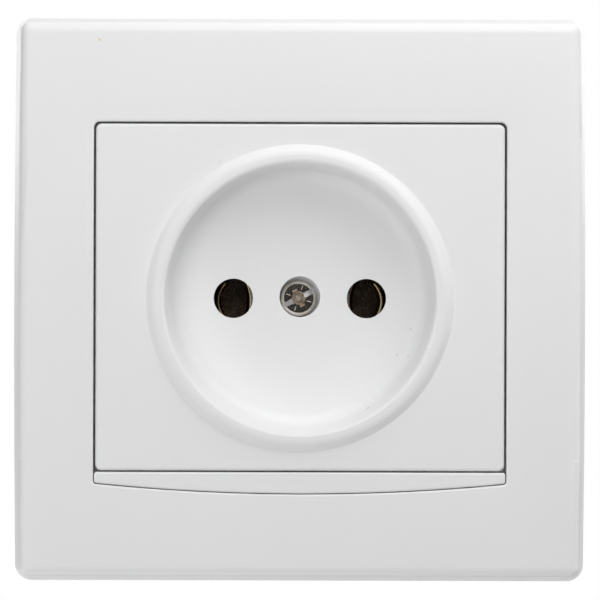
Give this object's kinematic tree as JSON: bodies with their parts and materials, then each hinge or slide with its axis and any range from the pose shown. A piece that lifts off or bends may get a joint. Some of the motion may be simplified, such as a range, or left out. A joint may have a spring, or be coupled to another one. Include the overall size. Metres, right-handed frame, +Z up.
{
  "type": "wall socket",
  "caption": "Flush wall socket with a square frame, a round recessed dish for a round-pin plug, a bowed decor strip, a steel support frame and spreading claws.",
  "frame": {"origin": "on the axis of the dish, in the wall plane, midway between the wall box's screws", "axes": "+X right, +Y into the wall, +Z up, seen from the room"},
  "size_m": [0.0818, 0.0389, 0.0804],
  "materials": {
    "white_plastic": "glossy moulded white plastic",
    "base_plastic": "matt grey moulded insulating plastic",
    "zinc_steel": "zinc-plated steel",
    "nickel": "nickel-plated steel",
    "brass": "stamped brass"
  },
  "bodies": {
    "socket": {"outer_frame": "white_plastic", "decor_strip": "white_plastic", "cover_plate": "white_plastic", "cover_screw": "nickel", "support_frame": "zinc_steel", "socket_base": "base_plastic", "cover_nut": "zinc_steel", "base_screw_upper": "zinc_steel", "base_screw_lower": "zinc_steel", "contact_left": "brass", "contact_right": "brass", "contact_rivet_left": "brass", "contact_rivet_right": "brass", "terminal_plate_left": "nickel", "terminal_plate_right": "nickel", "terminal_screw_left": "nickel", "terminal_screw_right": "nickel", "claw_pin_left": "zinc_steel", "claw_pin_right": "zinc_steel"},
    "claw_left": {"claw_left": "zinc_steel"},
    "claw_right": {"claw_right": "zinc_steel"},
    "claw_screw_left": {"claw_screw_left": "zinc_steel"},
    "claw_screw_right": {"claw_screw_right": "zinc_steel"}
  },
  "joints": [
    {"name": "claw_left_swing", "type": "hinge", "parent": "socket", "child": "claw_left", "pos_m": [-0.02639, 0.0026, -0.008], "axis": [0, 0, 1], "range_deg": [0, 25]},
    {"name": "claw_screw_left_drive", "type": "slide", "parent": "socket", "child": "claw_screw_left", "axis": [0, 1, 0], "range_m": [0, 0.0017]},
    {"name": "claw_right_swing", "type": "hinge", "parent": "socket", "child": "claw_right", "pos_m": [0.02639, 0.0026, -0.008], "axis": [0, 0, -1], "range_deg": [0, 25]},
    {"name": "claw_screw_right_drive", "type": "slide", "parent": "socket", "child": "claw_screw_right", "axis": [0, 1, 0], "range_m": [0, 0.0017]}
  ],
  "couplings": [
    {"joint": "claw_screw_left_drive", "follows": "claw_left_swing", "m_per_rad": 0.0038},
    {"joint": "claw_screw_right_drive", "follows": "claw_right_swing", "m_per_rad": 0.0038}
  ]
}
